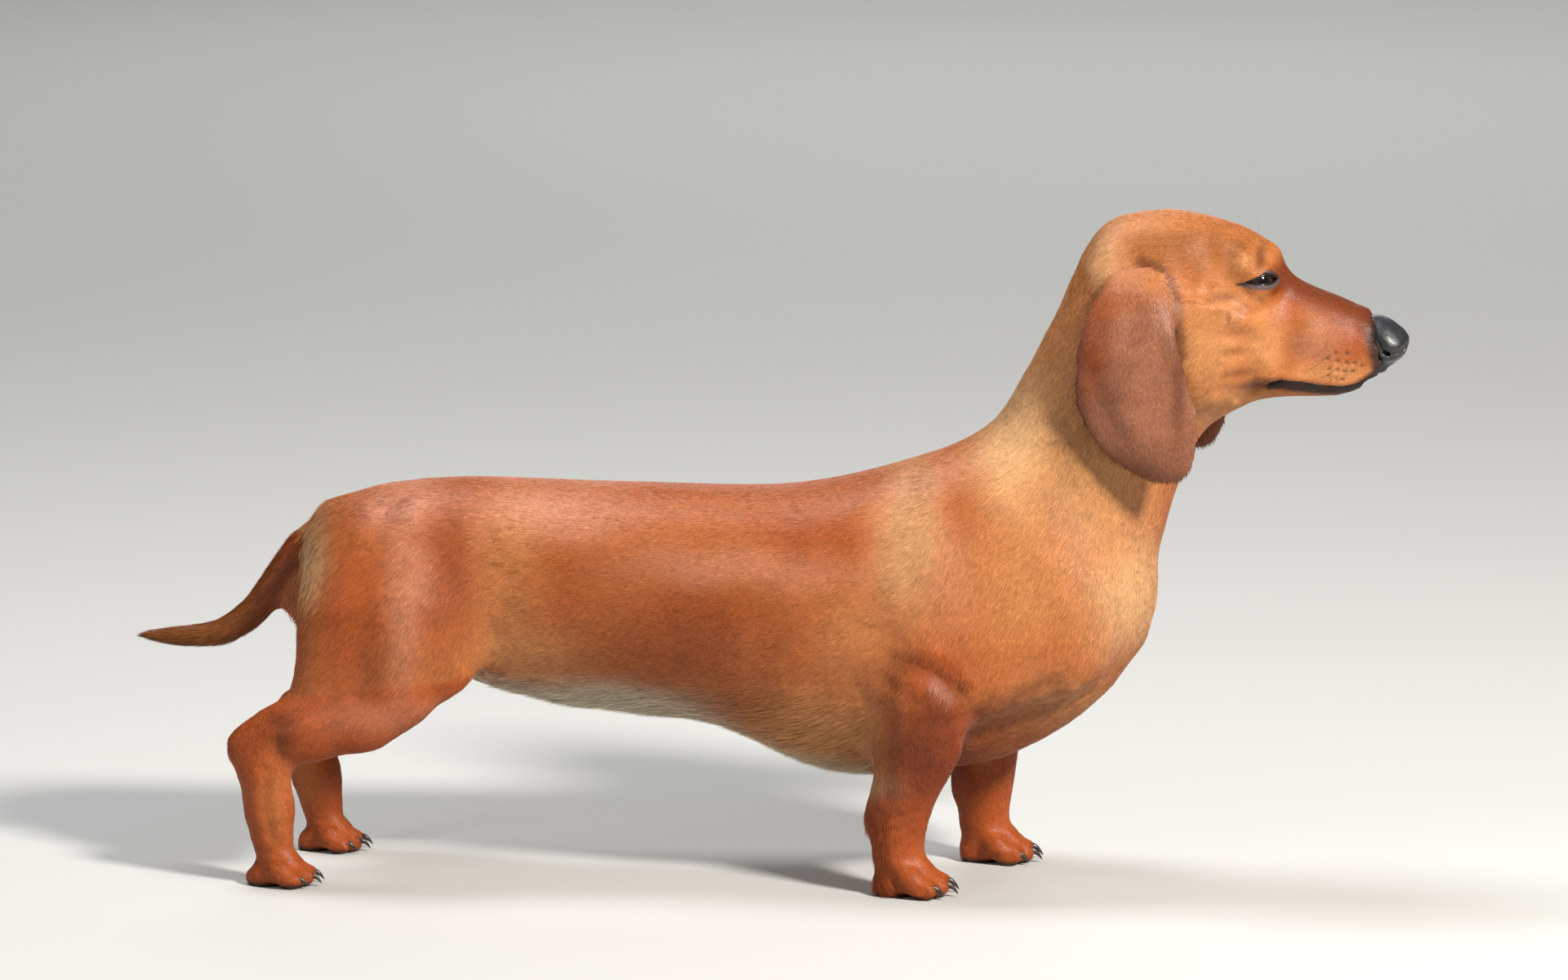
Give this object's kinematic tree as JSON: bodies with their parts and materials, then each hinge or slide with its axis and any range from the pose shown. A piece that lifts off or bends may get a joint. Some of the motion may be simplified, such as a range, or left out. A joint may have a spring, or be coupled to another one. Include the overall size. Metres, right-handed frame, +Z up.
{
  "type": "dachshund",
  "caption": "Life-size smooth-haired standing dachshund: long low body, short legs, hanging ears, long muzzle and a tail that hangs back in a low curve.",
  "frame": {"origin": "middle of the bounding box at floor level, under the soles", "axes": "+X the way the dog faces, +Y its left side, +Z up; the nose turns about 4 degrees towards the dog's right"},
  "size_m": [0.701, 0.149, 0.3744],
  "materials": {
    "red_coat": "short flat glossy hair, mahogany red",
    "tan_coat": "short flat hair, golden tan",
    "ear_coat": "very short glossy hair, dark red-brown",
    "nose_leather": "black pebbled skin, moist gloss",
    "eye": "dark brown, wet gloss",
    "claw": "dark horn, semi-gloss"
  },
  "bodies": {
    "root": {"chest": "red_coat", "ear_left": "ear_coat", "ear_right": "ear_coat", "eye_left": "eye", "eye_right": "eye", "fore_claw_left_inner": "claw", "fore_claw_left_outer": "claw", "fore_claw_left_second": "claw", "fore_claw_left_third": "claw", "fore_claw_right_inner": "claw", "fore_claw_right_outer": "claw", "fore_claw_right_second": "claw", "fore_claw_right_third": "claw", "fore_paw_left": "tan_coat", "fore_paw_right": "tan_coat", "forearm_left": "red_coat", "forearm_right": "red_coat", "head": "red_coat", "hind_claw_left_inner": "claw", "hind_claw_left_outer": "claw", "hind_claw_left_second": "claw", "hind_claw_left_third": "claw", "hind_claw_right_inner": "claw", "hind_claw_right_outer": "claw", "hind_claw_right_second": "claw", "hind_claw_right_third": "claw", "hind_paw_left": "tan_coat", "hind_paw_right": "tan_coat", "loin": "red_coat", "lower_jaw": "tan_coat", "neck": "tan_coat", "nose": "nose_leather", "rump": "red_coat", "shank_left": "red_coat", "shank_right": "red_coat", "tail": "red_coat", "thigh_left": "red_coat", "thigh_right": "red_coat"}
  },
  "joints": []
}
